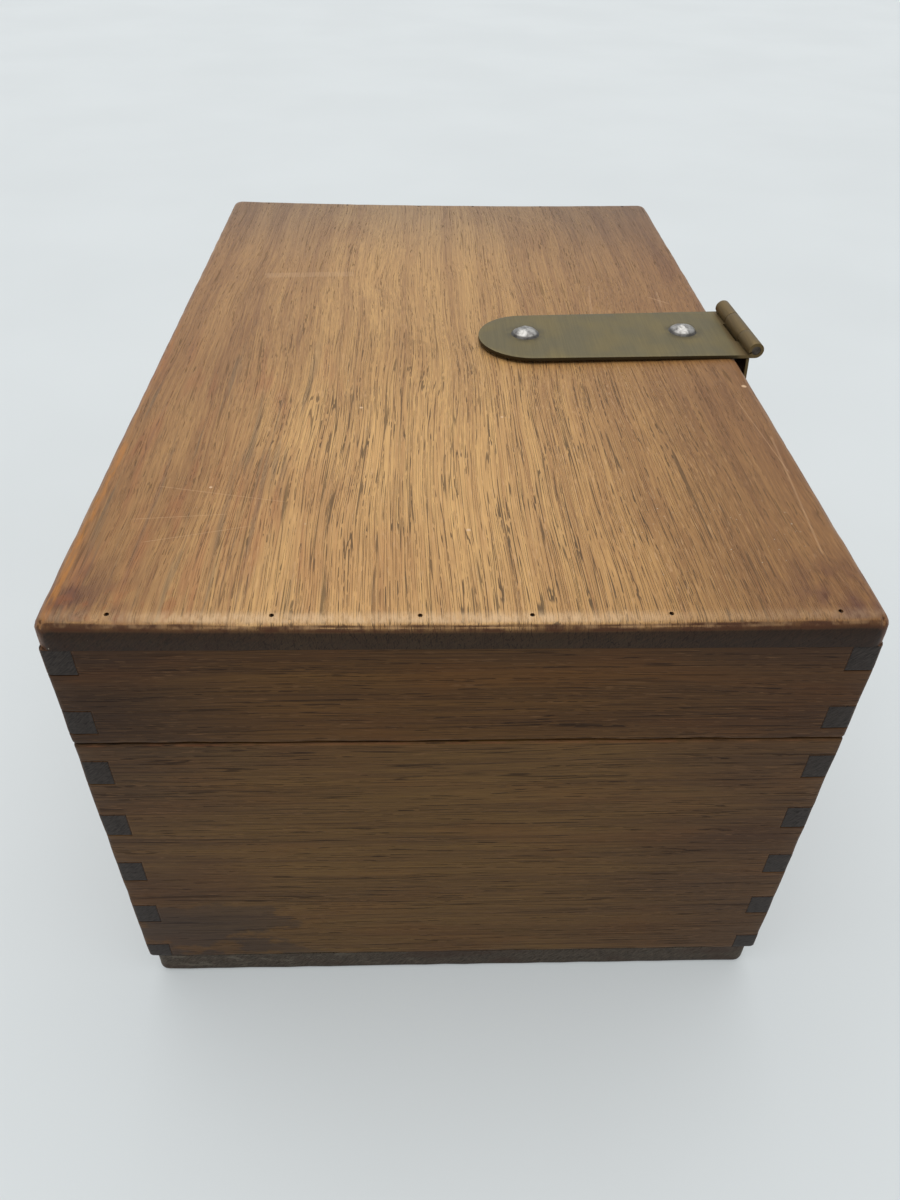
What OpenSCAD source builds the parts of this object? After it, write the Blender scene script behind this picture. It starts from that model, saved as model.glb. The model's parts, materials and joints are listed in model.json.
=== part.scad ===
// Wooden microscope case: finger-jointed boards, a hinged lid, a riveted brass hasp and a turn button.
// Millimetres. The origin is the centre of the base's underside, the hasp faces -Y and Z is up.

/* [Case] */
// Length of the boarded box, end to end
case_len = 381; // [300:1:460]
// Width of the boarded box, front to back
case_wid = 245; // [200:1:300]
// Height of the closed case, from the floor to the top board's edges
case_ht = 189; // [175:1:220]
// Height of the body, where the lid parts from it
split_z = 138.5; // [125:0.5:150]
// Shadow gap between the closed lid and the body
split_gap = 0.4; // [0.2:0.1:0.8]
// Thickness of the side and end boards
wall = 9.5; // [8.5:0.5:12]

/* [Boards] */
// Thickness of the top board at its edges
top_thk = 10; // [8:0.5:13]
// How far the middle of the top board has sunk between its long edges
top_cup = 1.3; // [0.2:0.1:2]
// How far the top board stands out past the sides
top_overhang = 0.4; // [0:0.1:1.5]
// Rounding along the top board's upper edges
top_edge_r = 4; // [1:0.5:5]
// Rounding of the top board's corners, seen from above
top_corner_r = 5; // [2:0.5:8]
// Thickness of the base board
base_thk = 11.8; // [8:0.2:15]
// How far the base board lies inside the long sides
base_inset = 2; // [0.5:0.5:4]
// How far the base board lies inside the ends
base_end_inset = 0.3; // [0:0.1:4]
// Rounding along the base board's lower edges
base_edge_r = 3; // [1:0.5:4]
// Rounding of the base board's corners, seen from above
base_corner_r = 4; // [1:0.5:8]
// Rounding of the box's upright corners
box_corner_r = 1.8; // [0.5:0.1:3]
// Rounding of the boards' worn edges at the parting line and the foot
worn_r = 0.7; // [0.3:0.1:1.2]

/* [Finger joints] */
// Height of a finger of the long boards, in the body
finger_h = 11.2; // [8:0.2:16]
// Height of the end board between two fingers, in the body
tail_h = 16.2; // [10:0.2:20]
// Height of the lowest finger, which the base cuts short
foot_finger_h = 9.3; // [6:0.1:14]
// Height of a finger of the long boards, in the lid
lid_finger_h = 10; // [7:0.2:12]
// Height of the end board between the lid's fingers
lid_tail_h = 15.3; // [8:0.1:17]
// Least height of end board left at the parting line
least_tail_h = 3; // [2:0.5:5]
// Open glue line on each face between a finger and its neighbour
glue_line = 0.1; // [0.05:0.05:0.2]

/* [Base screws and lid pins] */
// Screws along each long side of the base
base_screws_long = 4; // [3:1:6]
// Screws along each short side of the base
base_screws_short = 2; // [2:1:4]
// Diameter of a base screw's shank
base_screw_d = 2.8; // [2.2:0.1:3.2]
// Distance of the base screws' axes from the inner faces of the boards they hold
base_screw_in = 1.8; // [1.6:0.1:2.4]
// Length of a base screw
base_screw_len = 32; // [24:1:40]
// Distance of the outermost screws from the base's corners
base_screw_margin = 40; // [30:1:60]
// Diameter of the pins that hold the top board
lid_pin_d = 1.6; // [1.2:0.1:2]
// Length of these pins
lid_pin_len = 26; // [20:1:34]
// How far the pins are punched below the wood
lid_pin_sink = 0.9; // [0.5:0.1:2]
// Distance of the outermost pins from the sides
lid_pin_margin = 14.5; // [12:0.5:20]

/* [Hasp] */
// Thickness of the brass plate of the strap and the flap
hasp_t = 1.4; // [1:0.1:1.8]
// Diameter of the hasp's hinge pin
hasp_pin_d = 3.7; // [3:0.1:4.5]
// Width of the strap at its knuckles
strap_w = 46.6; // [40:0.2:52]
// Width of the strap at its round end
strap_end_w = 44; // [36:0.5:50]
// Reach of the strap from the pin to the tip of its round end
strap_reach = 116; // [100:1:125]
// Length of the flap's middle knuckle
mid_knuckle = 18.2; // [12:0.2:24]
// Distance of the hasp's pin from the front of the case
pin_out = 5.7; // [5:0.1:8]
// Place of the hasp along the case, at its pin
hasp_x = 2.7; // [-20:0.1:20]
// Angle by which the hasp was fitted askew, seen from above
hasp_skew = 3.2; // [0:0.1:4]
// Width of the flap
flap_w = 44; // [36:0.5:48]
// Width of the flap's slot
slot_w = 8; // [7.5:0.1:9]
// Length of the flap's slot
slot_len = 18.5; // [17.5:0.1:22]

/* [Rivets] */
// Diameter of a rivet's domed head
rivet_head_d = 12.4; // [9:0.1:14]
// Height of a rivet's domed head
rivet_head_h = 3; // [2:0.1:3.6]
// Diameter of a rivet's shank
rivet_d = 5; // [4:0.1:6]
// Distance from the pin to the outer rivet
rivet_near = 24.6; // [20:0.2:35]
// Distance from the pin to the inner rivet
rivet_far = 95.2; // [75:0.2:99]
// How far the rivets stand off the strap's middle line
rivet_shift = 2.4; // [-4:0.1:4]
// Outer diameter of the washers inside the lid
washer_d = 12; // [10:0.2:16]
// Thickness of the washers
washer_t = 1.2; // [0.8:0.1:2]

/* [Turn button] */
// Width of the catch plate
catch_w = 32; // [28:1:36]
// Height of the catch plate
catch_h = 37; // [34:1:44]
// Distance from the parting line down to the catch plate
catch_down = 1.7; // [1:0.1:6]
// Thickness of the catch plate
catch_t = 1.2; // [0.8:0.1:1.4]
// Length of the button's oval head
button_len = 15; // [12:0.5:16]
// Width of the button's oval head
button_w = 6.5; // [5.5:0.1:7]
// Thickness of the button's head
button_t = 1.8; // [1.4:0.1:2.4]
// Diameter of the button's neck
button_neck_d = 5; // [4:0.1:5.4]

/* [Butt hinges] */
// Length of each butt hinge
butt_len = 50; // [40:1:64]
// Distance of each butt hinge's middle from the case's end
butt_end = 75.5; // [60:0.5:100]
// Width of a leaf let into the board's edge
butt_leaf_w = 8; // [6.5:0.1:8.2]
// Thickness of a leaf
butt_leaf_t = 1.3; // [1:0.1:1.6]
// Diameter of a butt hinge's pin
butt_pin_d = 2.6; // [2:0.1:3]
// Knuckles in each butt hinge
butt_knuckles = 5; // [3:2:7]
// Screws in each leaf
butt_screws = 3; // [2:1:4]
// Distance of a leaf's outer screws from its ends
butt_screw_margin = 8; // [6:0.5:10]
// Diameter of a hinge screw's shank
butt_screw_d = 2.2; // [1.8:0.1:2.4]
// Length of a hinge screw
butt_screw_len = 13; // [10:1:16]

/* [Cradles] */
// Thickness of the cradle boards inside the body
cradle_t = 12; // [8:1:18]
// Height of the cradle that holds the tube
tube_cradle_h = 72; // [50:1:90]
// Distance of the tube cradle's middle from the case's left end
tube_cradle_end = 98.5; // [80:0.5:120]
// Diameter of the scoop for the tube
tube_scoop_d = 56; // [40:1:70]
// Height of the cradle that holds the foot
foot_cradle_h = 58; // [45:1:80]
// Distance of the foot cradle's middle from the case's right end
foot_cradle_end = 102.5; // [80:0.5:120]
// Width of the notch for the foot
foot_notch_w = 118; // [90:1:150]
// Depth of the notch for the foot
foot_notch_depth = 26; // [16:1:34]
// Thickness of the felt in the cradles
felt_t = 2; // [1:0.5:3]

/* [Fits] */
// Running clearance round a hinge pin or the button's neck, on the radius
pin_play = 0.05; // [0.02:0.01:0.1]
// Gap between two knuckles
knuckle_gap = 0.2; // [0.1:0.05:0.4]
// Clearance round a fastener in its hole, on the radius
hole_play = 0.05; // [0.03:0.01:0.1]
// Gap between moving parts that pass each other
pass_gap = 0.35; // [0.3:0.05:0.6]

/* [Hidden] */
$fn = 48;
over = 1;
screw_sink = 0.2;
leaf_screw_sink = 0.05;
catch_screw_sink = 0.1;
catch_slot_turn = 17;
butt_slot_turn = 40;
pin_head_h = 0.8;
pin_head_more = 0.8;
pin_end_in = 0.2;
catch_corner_r = 4;
catch_screw_in = 5;
flat_edge_r = 0.3;
wood = "#7a5233";
wood_dark = "#55371f";
wood_pale = "#a98257";
brass = "#8a7d55";
steel = "#55514c";
tin = "#b9b9b4";
felt = "#2f5a3c";

// Levels of the boards
body_z0 = base_thk;
lid_z0 = split_z + split_gap;
lid_z1 = case_ht - top_thk;
half_wid = case_wid / 2;
half_len = case_len / 2;
front_y = -half_wid;
back_y = half_wid;

// Bands of height in which the long boards have a finger
finger_step = finger_h + tail_h;
body_fingers_n = floor((split_z - body_z0 - foot_finger_h - least_tail_h) / finger_step);
body_fingers = concat(
    [[body_z0, body_z0 + foot_finger_h]],
    [for (i = [0 : body_fingers_n - 1])
        let (z = body_z0 + foot_finger_h + tail_h + i * finger_step) [z, z + finger_h]]
);
lid_step = lid_finger_h + lid_tail_h;
lid_fingers_n = floor((lid_z1 - lid_z0 - least_tail_h + lid_tail_h) / lid_step);
lid_fingers = [for (i = [0 : lid_fingers_n - 1])
    let (z = lid_z1 - i * lid_step) [z - lid_finger_h, z]];

// The hasp: the strap lies on the top board's edge and its barrel stands above it
barrel_r = hasp_pin_d / 2 + pin_play + hasp_t;
hasp_y = front_y - pin_out;
hasp_z = case_ht + barrel_r;
leaf_top = barrel_r + 2 * pass_gap;
button_z = split_z - catch_down - catch_h / 2;
slot_drop = hasp_z - button_z;
seam = 0.6;
strap_seam_deg = -24;
flap_seam_deg = -72;
rivet_dome_r = (pow(rivet_head_d / 2, 2) + pow(rivet_head_h, 2)) / (2 * rivet_head_h);
rivet_tail_grip = 1.6;
rivet_tail_r = rivet_d / 2 + rivet_tail_grip;
rivet_tail_h = 1.4;
rivet_tail_taper = 1;

// The flap's home stop, and the angle at which it hangs just clear of the button
skew_reach = sin(hasp_skew) * catch_w / 2;
home_off = catch_t + skew_reach + 2 * pass_gap;
flap_home = asin((home_off + barrel_r - pin_out) / slot_drop);
flap_out_off = home_off + hasp_t;
button_back = flap_out_off + sin(hasp_skew) * button_len / 2 + pass_gap;
button_front = button_back + button_t;
flap_rest = asin((button_front + pass_gap + sin(hasp_skew) * button_w / 2 + barrel_r - pin_out)
    / (slot_drop - button_len / 2));
button_x = hasp_x - sin(hasp_skew) * barrel_r;
collar_grip = 1.7;
collar_r = button_neck_d / 2 + collar_grip;
collar_t = 1.2;
collar_play = 0.1;

// The butt hinges, on the line between lid and body
butt_r = butt_pin_d / 2 + pin_play + butt_leaf_t;
butt_out = butt_r + pass_gap;
butt_y = back_y + butt_out;
butt_z = split_z + split_gap / 2;
knuckle_len = butt_len / butt_knuckles;
butt_x = half_len - butt_end;
butt_screw_y = back_y - butt_leaf_w / 2;
tube_cradle_x = -half_len + tube_cradle_end;
foot_cradle_x = half_len - foot_cradle_end;

inner_len = case_len - 2 * wall;
inner_wid = case_wid - 2 * wall;

function spread(n, half, margin) = [for (i = [0 : n - 1]) -half + margin + i * 2 * (half - margin) / (n - 1)];
function cup_at(y) = top_cup * (1 - pow(y / (half_wid + top_overhang), 2));

// A rectangle standing on y = 0 with its two lower and two upper corners rounded
module soft_rect(w, h, low_r, high_r) {
    translate([-w / 2, low_r]) square([w, h - low_r - high_r]);
    translate([-w / 2 + low_r, 0]) square([w - 2 * low_r, low_r + 0.01]);
    translate([-w / 2 + high_r, h - high_r - 0.01]) square([w - 2 * high_r, high_r + 0.01]);
    for (s = [-1, 1]) {
        translate([s * (w / 2 - low_r), low_r]) circle(r = low_r);
        translate([s * (w / 2 - high_r), h - high_r]) circle(r = high_r);
    }
}

// A block centred on X and Y whose upright, lower and upper edges are rounded
module soft_block(l, w, z0, z1, corner_r, low_r, high_r) {
    intersection() {
        translate([0, -w / 2, z0]) linear_extrude(z1 - z0) soft_rect(l, w, corner_r, corner_r);
        translate([-l / 2, 0, z0]) rotate([90, 0, 90]) linear_extrude(l) soft_rect(w, z1 - z0, low_r, high_r);
        translate([0, w / 2, z0]) rotate([90, 0, 0]) linear_extrude(w) soft_rect(l, z1 - z0, low_r, high_r);
    }
}

// A stadium, its long way along Y
module oval(len, w) {
    translate([-w / 2, -(len - w) / 2]) square([w, len - w]);
    for (s = [-1, 1]) translate([0, s * (len - w) / 2]) circle(d = w);
}

// A countersunk wood screw, head upwards at z = 0; grow widens it into its hole
module wood_screw(d, len, grow = 0) {
    shank_r = d / 2 + grow;
    head_r = d + grow;
    head_h = d * 0.62;
    point_r = d / 5 + grow;
    point_h = d * 1.4;
    end_z = -len - grow;
    top_z = grow > 0 ? over : 0;
    rotate_extrude() polygon([[0, end_z], [point_r, end_z], [shank_r, point_h - len], [shank_r, -head_h],
        [head_r, 0], [head_r, top_z], [0, top_z]]);
}

module slotted_screw(d, len) {
    slot_len = 2.4 * d;
    slot_wide = 0.26 * d;
    slot_deep = 0.28 * d;
    difference() {
        wood_screw(d, len);
        translate([-slot_len / 2, -slot_wide / 2, -slot_deep]) cube([slot_len, slot_wide, slot_deep + over]);
    }
}

// The two boxes before they part: what every board is trimmed to
module body_outline() {
    soft_block(case_len, case_wid, body_z0, split_z, box_corner_r, worn_r, worn_r);
}

module lid_outline() {
    soft_block(case_len, case_wid, lid_z0, lid_z1 + over, box_corner_r, worn_r, worn_r);
}

// A long board: its fingers reach the ends, the rest stops at the end boards
module long_board(side, z0, z1, fingers) {
    y0 = side < 0 ? front_y : back_y - wall;
    translate([-inner_len / 2, y0, z0]) cube([inner_len, wall, z1 - z0]);
    for (f = fingers) {
        low = f[0] > z0 ? f[0] + glue_line : z0;
        high = f[1] < z1 ? f[1] - glue_line : z1;
        translate([-half_len, y0, low]) cube([case_len, wall, high - low]);
    }
}

// An end board: it fills the bands between the fingers
module end_board(side, z0, z1, fingers) {
    x0 = side < 0 ? -half_len : half_len - wall;
    difference() {
        translate([x0, front_y, z0]) cube([wall, case_wid, z1 - z0]);
        for (f = fingers, s = [-1, 1]) {
            low = f[0] > z0 ? f[0] - glue_line : z0 - over;
            high = f[1] < z1 ? f[1] + glue_line : z1 + over;
            translate([x0 - over, s < 0 ? front_y - over : back_y - wall, low])
                cube([wall + 2 * over, wall + over, high - low]);
        }
    }
}

// Base screws, seen from above as [x, y]
base_screw_places = concat(
    [for (x = spread(base_screws_long, half_len, base_screw_margin), s = [-1, 1])
        [x, s * (inner_wid / 2 + base_screw_in)]],
    [for (y = spread(base_screws_short, half_wid, base_screw_margin), s = [-1, 1])
        [s * (inner_len / 2 + base_screw_in), y]]
);

module base_screw_set(grow = 0) {
    for (p = base_screw_places) translate([p[0], p[1], screw_sink]) rotate([180, 0, 0]) {
        if (grow > 0) wood_screw(base_screw_d, base_screw_len, grow);
        else slotted_screw(base_screw_d, base_screw_len);
    }
}

// Lid pins: hammered in by eye, so each stands a little off an even spacing
pin_drift = [0, 6, 3, -8, -9, -6];
pin_rows = spread(len(pin_drift), half_wid, lid_pin_margin);
lid_pin_places = [for (i = [0 : len(pin_drift) - 1], s = [-1, 1])
    [s * (half_len - wall / 2), pin_rows[i] + pin_drift[i]]];

module lid_pin_set(grow = 0) {
    for (p = lid_pin_places) translate([p[0], p[1], case_ht - cup_at(p[1]) - lid_pin_sink]) {
        translate([0, 0, -lid_pin_len]) cylinder(d = lid_pin_d + 2 * grow, h = lid_pin_len);
        translate([0, 0, -pin_head_h - grow]) cylinder(
            d = lid_pin_d + pin_head_more + 2 * grow,
            h = pin_head_h + grow + (grow > 0 ? top_cup + 2 * over : 0)
        );
    }
}

// Moves the hasp's own frame, with its origin on the pin's axis, to its place on the case
module hasp_place() {
    translate([hasp_x, hasp_y, hasp_z]) rotate([0, 0, hasp_skew]) children();
}

// One or more knuckles: a rolled tube along X between x0 and x1
module knuckle(x0, x1, r) {
    translate([x0, 0, 0]) rotate([0, 90, 0]) cylinder(r = r, h = x1 - x0);
}

module knuckle_bore(r, len) {
    translate([-len / 2 - over, 0, 0]) rotate([0, 90, 0]) cylinder(r = r, h = len + 2 * over);
}

// The open seam where a rolled edge ends, at an angle round the barrel
module roll_seam(deg, len) {
    rotate([deg, 0, 0]) translate([-len / 2 - over, barrel_r - hasp_t - 0.3, -seam / 2])
        cube([len + 2 * over, hasp_t + over, seam]);
}

rivet_places = [[rivet_shift, rivet_near], [rivet_shift, rivet_far]];

// Rivets in the hasp's frame, heads on the strap; grow widens them into their holes
module rivet_set(grow = 0) {
    strap_top = -barrel_r + hasp_t;
    board_low = lid_z1 - hasp_z;
    for (p = rivet_places) translate([p[0], p[1], 0]) {
        if (grow > 0) {
            translate([0, 0, board_low - over])
                cylinder(d = rivet_d + 2 * grow, h = strap_top - board_low + 2 * over);
        } else {
            translate([0, 0, strap_top]) intersection() {
                translate([0, 0, rivet_head_h - rivet_dome_r]) sphere(r = rivet_dome_r);
                cylinder(d = rivet_head_d + over, h = rivet_head_h + over);
            }
            translate([0, 0, board_low - washer_t - 0.01])
                cylinder(d = rivet_d, h = strap_top - board_low + washer_t + 0.02);
            translate([0, 0, board_low - washer_t]) mirror([0, 0, 1])
                cylinder(r1 = rivet_tail_r, r2 = rivet_tail_r - rivet_tail_taper, h = rivet_tail_h);
        }
    }
}

// The catch's own frame: its origin on the case's front, its z pointing out to the front
module catch_place() {
    translate([button_x, front_y, button_z]) rotate([90, 0, 0]) children();
}

catch_screw_places = [for (sx = [-1, 1], sy = [-1, 1])
    [sx * (catch_w / 2 - catch_screw_in), sy * (catch_h / 2 - catch_screw_in)]];
catch_screw_d = 2.6;
catch_screw_len = 8.6;

module catch_screw_set(grow = 0) {
    for (p = catch_screw_places) translate([p[0], p[1], catch_t - catch_screw_sink]) {
        if (grow > 0) wood_screw(catch_screw_d, catch_screw_len, grow);
        else rotate([0, 0, catch_slot_turn * p[0]]) slotted_screw(catch_screw_d, catch_screw_len);
    }
}

// A butt hinge's frame: its origin on the pin's axis
module butt_place(side) {
    translate([side * butt_x, butt_y, butt_z]) children();
}

// One leaf and its knuckles; way is -1 for the body's leaf and 1 for the lid's
module butt_leaf(way) {
    leaf_z = split_gap / 2;
    difference() {
        union() {
            for (i = [0 : butt_knuckles - 1]) if ((i % 2 == 0) == (way < 0)) {
                x0 = -butt_len / 2 + i * knuckle_len + (i == 0 ? 0 : knuckle_gap / 2);
                x1 = -butt_len / 2 + (i + 1) * knuckle_len - (i == butt_knuckles - 1 ? 0 : knuckle_gap / 2);
                knuckle(x0, x1, butt_r);
                translate([x0, -butt_out - 0.01, way < 0 ? -leaf_z - butt_leaf_t : leaf_z])
                    cube([x1 - x0, butt_out, butt_leaf_t]);
            }
            translate([-butt_len / 2, -butt_out - butt_leaf_w, way < 0 ? -leaf_z - butt_leaf_t : leaf_z])
                cube([butt_len, butt_leaf_w, butt_leaf_t]);
        }
        knuckle_bore(butt_pin_d / 2 + pin_play, butt_len);
        butt_screws_at(way, hole_play);
    }
}

// Screws through a leaf, in the hinge's frame
module butt_screws_at(way, grow = 0) {
    leaf_z = split_gap / 2;
    for (x = spread(butt_screws, butt_len / 2, butt_screw_margin)) translate([x, butt_screw_y - butt_y, 0])
        rotate([way < 0 ? 0 : 180, 0, 0]) translate([0, 0, -leaf_z - leaf_screw_sink]) {
            if (grow > 0) wood_screw(butt_screw_d, butt_screw_len, grow);
            else rotate([0, 0, butt_slot_turn * x]) slotted_screw(butt_screw_d, butt_screw_len);
        }
}

// The pocket in a board's edge that a leaf is let into, with its screw holes
module butt_pockets(way) {
    for (side = [-1, 1]) butt_place(side) {
        translate([-butt_len / 2, -butt_out - butt_leaf_w, way < 0 ? -split_gap / 2 - butt_leaf_t : -over])
            cube([butt_len, butt_leaf_w + over, butt_leaf_t + split_gap / 2 + over]);
        butt_screws_at(way, hole_play);
    }
}

module base_board() {
    color(wood_dark) difference() {
        soft_block(case_len - 2 * base_end_inset, case_wid - 2 * base_inset, 0, base_thk,
            base_corner_r, base_edge_r, flat_edge_r);
        base_screw_set(hole_play);
    }
}

module body_front_board() {
    color(wood) difference() {
        intersection() {
            long_board(-1, body_z0, split_z, body_fingers);
            body_outline();
        }
        base_screw_set(hole_play);
        catch_place() {
            catch_screw_set(hole_play);
            translate([0, 0, -collar_t - 2 * pass_gap]) cylinder(r = collar_r + pass_gap, h = collar_t + over);
        }
    }
}

module body_back_board() {
    color(wood) difference() {
        intersection() {
            long_board(1, body_z0, split_z, body_fingers);
            body_outline();
        }
        base_screw_set(hole_play);
        butt_pockets(-1);
    }
}

module body_end(side) {
    color(wood) difference() {
        intersection() {
            end_board(side, body_z0, split_z, body_fingers);
            body_outline();
        }
        base_screw_set(hole_play);
    }
}

module body_left_end() { body_end(-1); }

module body_right_end() { body_end(1); }

// The top board: a flat underside and a face that dips between the long edges
module lid_top_board() {
    len = case_len + 2 * top_overhang;
    wid = case_wid + 2 * top_overhang;
    steps = 16;
    dip = [for (i = [-steps : steps]) let (y = i * wid / 2 / steps) [y, case_ht - cup_at(y)]];
    color(wood) difference() {
        soft_block(len, wid, lid_z1, case_ht, top_corner_r, flat_edge_r, top_edge_r);
        translate([-len / 2 - over, 0, 0]) rotate([90, 0, 90]) linear_extrude(len + 2 * over)
            polygon(concat([[-wid / 2, case_ht + over]], dip, [[wid / 2, case_ht + over]]));
        lid_pin_set(hole_play);
        hasp_place() rivet_set(hole_play);
    }
}

module lid_front_rail() {
    color(wood) intersection() {
        long_board(-1, lid_z0, lid_z1, lid_fingers);
        lid_outline();
    }
}

module lid_back_rail() {
    color(wood) difference() {
        intersection() {
            long_board(1, lid_z0, lid_z1, lid_fingers);
            lid_outline();
        }
        butt_pockets(1);
    }
}

module lid_end(side) {
    color(wood) difference() {
        intersection() {
            end_board(side, lid_z0, lid_z1, lid_fingers);
            lid_outline();
        }
        lid_pin_set(hole_play);
    }
}

module lid_left_end() { lid_end(-1); }

module lid_right_end() { lid_end(1); }

module base_screws() { color(steel) base_screw_set(); }

module lid_top_pins() { color(steel) lid_pin_set(); }

// The strap: a plate with a round end, rolled up into the two outer knuckles
module hasp_strap() {
    end_y = strap_reach - strap_end_w / 2;
    notch_y = barrel_r + 2 * pass_gap;
    color(brass) hasp_place() difference() {
        union() {
            translate([0, 0, -barrel_r]) linear_extrude(hasp_t) {
                polygon([[-strap_w / 2, 0], [strap_w / 2, 0], [strap_end_w / 2, end_y], [-strap_end_w / 2, end_y]]);
                translate([0, end_y]) circle(d = strap_end_w, $fn = 96);
            }
            knuckle(-strap_w / 2, strap_w / 2, barrel_r);
        }
        knuckle_bore(barrel_r - hasp_t, strap_w);
        translate([-mid_knuckle / 2, -barrel_r - over, -barrel_r - over])
            cube([mid_knuckle, barrel_r + notch_y + over, 2 * barrel_r + 2 * over]);
        roll_seam(strap_seam_deg, strap_w);
        rivet_set(hole_play);
    }
}

// The flap hangs from the middle knuckle, its plate on the barrel's inner side
module hasp_flap() {
    neck = mid_knuckle - 2 * knuckle_gap;
    color(brass) hasp_place() rotate([-flap_rest, 0, 0]) difference() {
        union() {
            translate([0, barrel_r, 0]) rotate([90, 0, 0]) linear_extrude(hasp_t) difference() {
                union() {
                    translate([-neck / 2, -leaf_top - over]) square([neck, leaf_top + over]);
                    translate([-flap_w / 2, -slot_drop]) square([flap_w, slot_drop - leaf_top]);
                    translate([0, -slot_drop]) circle(d = flap_w, $fn = 96);
                }
                translate([0, -slot_drop]) oval(slot_len, slot_w);
            }
            knuckle(-neck / 2, neck / 2, barrel_r);
        }
        knuckle_bore(barrel_r - hasp_t, neck);
        roll_seam(flap_seam_deg, neck);
    }
}

module hasp_pin() {
    color(steel) hasp_place() knuckle(-strap_w / 2 + pin_end_in, strap_w / 2 - pin_end_in, hasp_pin_d / 2);
}

module hasp_rivets() { color(tin) hasp_place() rivet_set(); }

module rivet_washers() {
    color(tin) hasp_place() for (p = rivet_places)
        translate([p[0], p[1], lid_z1 - hasp_z - washer_t]) difference() {
            cylinder(d = washer_d, h = washer_t);
            translate([0, 0, -over]) cylinder(d = rivet_d + 2 * hole_play, h = washer_t + 2 * over);
        }
}

module catch_plate() {
    color(brass) catch_place() difference() {
        translate([0, -catch_h / 2, 0]) linear_extrude(catch_t)
            soft_rect(catch_w, catch_h, catch_corner_r, catch_corner_r);
        translate([0, 0, -over]) cylinder(d = button_neck_d + 2 * pin_play, h = catch_t + 2 * over);
        catch_screw_set(hole_play);
    }
}

// The turn button: a collar behind the plate, a neck through it and an oval head outside
module turn_button() {
    color(brass) catch_place() {
        translate([0, 0, -collar_t - collar_play]) cylinder(r = collar_r, h = collar_t);
        translate([0, 0, -2 * collar_play]) cylinder(d = button_neck_d, h = button_back + 3 * collar_play);
        translate([0, 0, button_back]) linear_extrude(button_t) oval(button_len, button_w);
    }
}

module catch_screws() { color(brass) catch_place() catch_screw_set(); }

module left_hinge_body_leaf() { color(brass) butt_place(-1) butt_leaf(-1); }

module left_hinge_lid_leaf() { color(brass) butt_place(-1) butt_leaf(1); }

module left_hinge_pin() { color(steel) butt_place(-1) knuckle(-butt_len / 2, butt_len / 2, butt_pin_d / 2); }

module right_hinge_body_leaf() { color(brass) butt_place(1) butt_leaf(-1); }

module right_hinge_lid_leaf() { color(brass) butt_place(1) butt_leaf(1); }

module right_hinge_pin() { color(steel) butt_place(1) knuckle(-butt_len / 2, butt_len / 2, butt_pin_d / 2); }

module hinge_body_screws() { color(brass) for (s = [-1, 1]) butt_place(s) butt_screws_at(-1); }

module hinge_lid_screws() { color(brass) for (s = [-1, 1]) butt_place(s) butt_screws_at(1); }

// A board set across the body, drawn in the YZ plane and given its thickness along X
module across(x, t) {
    translate([x - t / 2, 0, body_z0]) rotate([90, 0, 90]) linear_extrude(t) children();
}

module tube_scoop(inset = 0) {
    translate([0, tube_cradle_h]) circle(d = tube_scoop_d - 2 * inset, $fn = 72);
}

module tube_cradle() {
    color(wood_pale) across(tube_cradle_x, cradle_t) difference() {
        translate([-inner_wid / 2, 0]) square([inner_wid, tube_cradle_h]);
        tube_scoop();
    }
}

module tube_cradle_felt() {
    color(felt) across(tube_cradle_x, cradle_t) intersection() {
        difference() {
            tube_scoop();
            tube_scoop(felt_t);
        }
        translate([-inner_wid / 2, 0]) square([inner_wid, tube_cradle_h]);
    }
}

module foot_cradle() {
    color(wood_pale) across(foot_cradle_x, cradle_t) difference() {
        translate([-inner_wid / 2, 0]) square([inner_wid, foot_cradle_h]);
        translate([-foot_notch_w / 2, foot_cradle_h - foot_notch_depth])
            square([foot_notch_w, foot_notch_depth + over]);
    }
}

module foot_cradle_felt() {
    color(felt) across(foot_cradle_x, cradle_t) difference() {
        translate([-foot_notch_w / 2, foot_cradle_h - foot_notch_depth])
            square([foot_notch_w, foot_notch_depth]);
        translate([-foot_notch_w / 2 + felt_t, foot_cradle_h - foot_notch_depth + felt_t])
            square([foot_notch_w - 2 * felt_t, foot_notch_depth]);
    }
}

base_board();
body_front_board();
body_back_board();
body_left_end();
body_right_end();
lid_top_board();
lid_front_rail();
lid_back_rail();
lid_left_end();
lid_right_end();
base_screws();
lid_top_pins();
hasp_strap();
hasp_flap();
hasp_pin();
hasp_rivets();
rivet_washers();
catch_plate();
turn_button();
catch_screws();
left_hinge_body_leaf();
left_hinge_lid_leaf();
left_hinge_pin();
right_hinge_body_leaf();
right_hinge_lid_leaf();
right_hinge_pin();
hinge_body_screws();
hinge_lid_screws();
tube_cradle();
tube_cradle_felt();
foot_cradle();
foot_cradle_felt();
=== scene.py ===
"""A wooden case in Blender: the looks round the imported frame.

Metres. +X runs along the case, its hasp faces -Y, +Z is up, and the camera looks along +X.
"""
import json
import math
from random import Random

import bmesh
import bpy
from mathutils import Matrix, Vector, noise


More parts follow.
